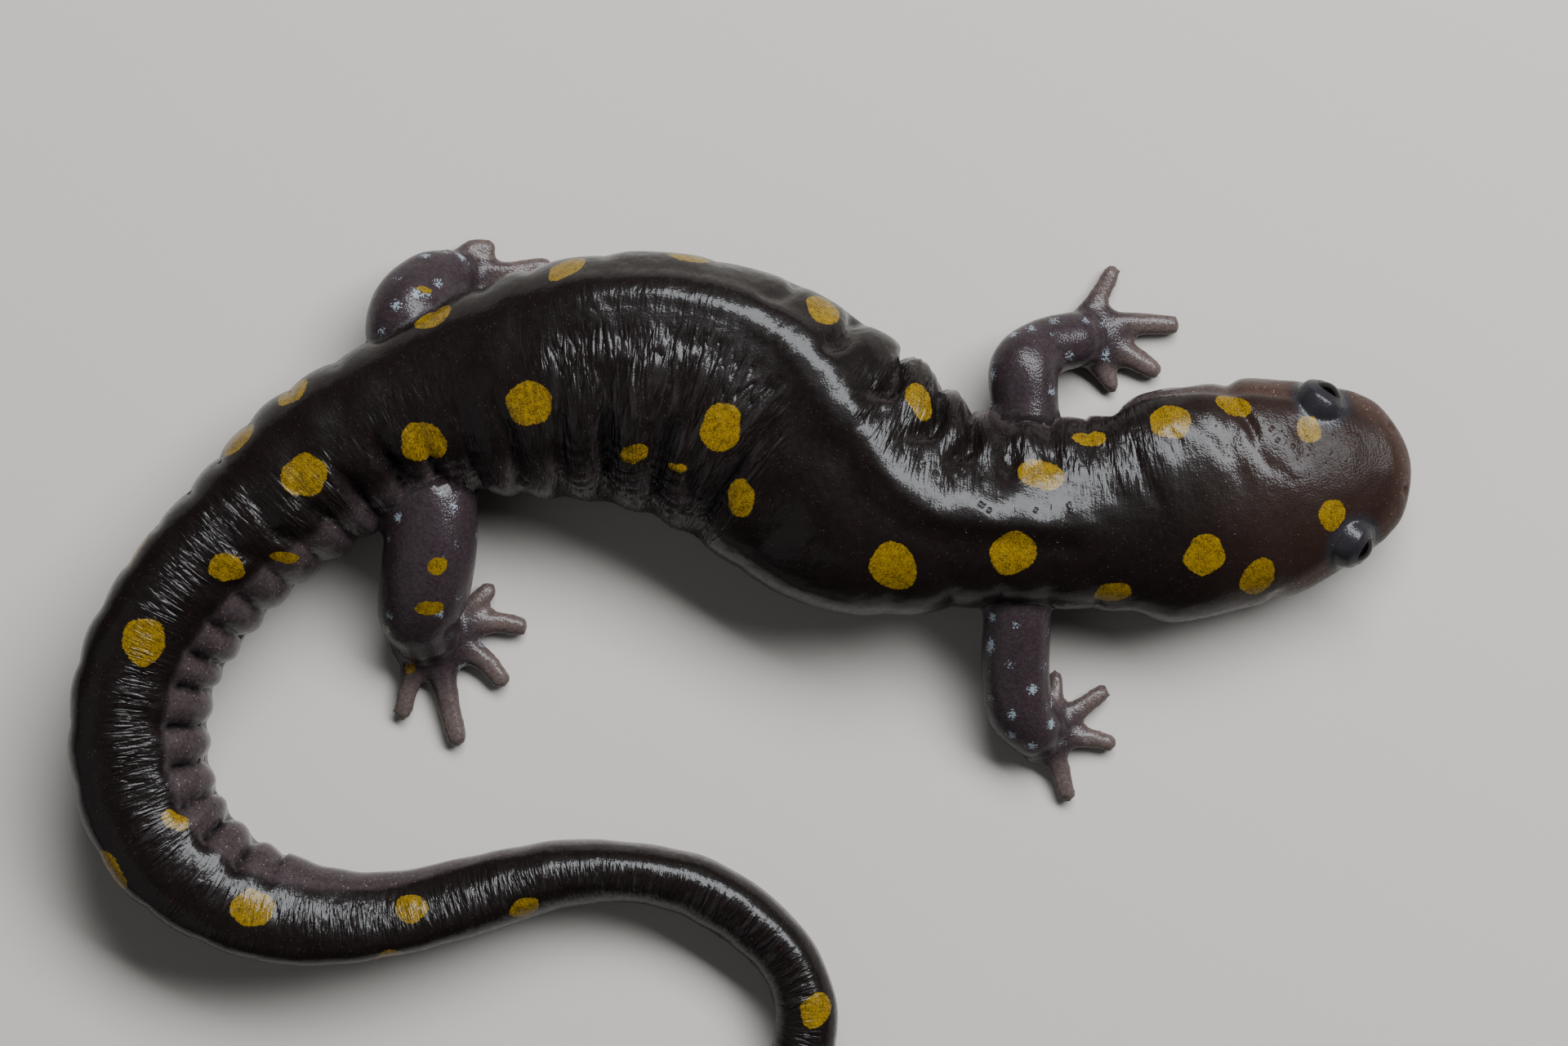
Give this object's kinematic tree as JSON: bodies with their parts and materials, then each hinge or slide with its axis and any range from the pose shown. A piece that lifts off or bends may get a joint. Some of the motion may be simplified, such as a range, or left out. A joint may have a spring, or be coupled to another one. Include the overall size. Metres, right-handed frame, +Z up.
{
  "type": "spotted salamander",
  "caption": "Life-size still model of a yellow-spotted salamander lying with its tail curled round; rests on belly, hands and feet.",
  "frame": {"origin": "on the floor, under the middle of the plan of the whole animal", "axes": "+Z up, +X from the bend of the tail to the snout, +Y to the animal's left"},
  "size_m": [0.1102, 0.0768, 0.0149],
  "materials": {
    "back_skin": "wet, glossy black-brown amphibian skin with crisp yellow spots",
    "limb_skin": "moist, finely pebbled grey-brown amphibian skin with pale flecks",
    "eye": "clear, wet black eye"
  },
  "bodies": {
    "root": {"head": "back_skin", "eye_left": "eye", "eye_right": "eye", "neck": "back_skin", "torso_shoulders": "back_skin", "torso_middle": "back_skin", "torso_rear": "back_skin", "torso_hips": "back_skin", "tail_1": "back_skin", "tail_2": "back_skin", "tail_3": "back_skin", "tail_4": "back_skin", "tail_5": "back_skin", "tail_6": "back_skin", "tail_7": "back_skin", "tail_8": "back_skin", "tail_9": "back_skin", "arm_upper_left": "limb_skin", "arm_lower_left": "limb_skin", "hand_left": "limb_skin", "arm_upper_right": "limb_skin", "arm_lower_right": "limb_skin", "hand_right": "limb_skin", "leg_upper_right": "limb_skin", "leg_lower_right": "limb_skin", "foot_right": "limb_skin", "leg_upper_left": "limb_skin", "leg_lower_left": "limb_skin", "foot_left": "limb_skin"}
  },
  "joints": []
}
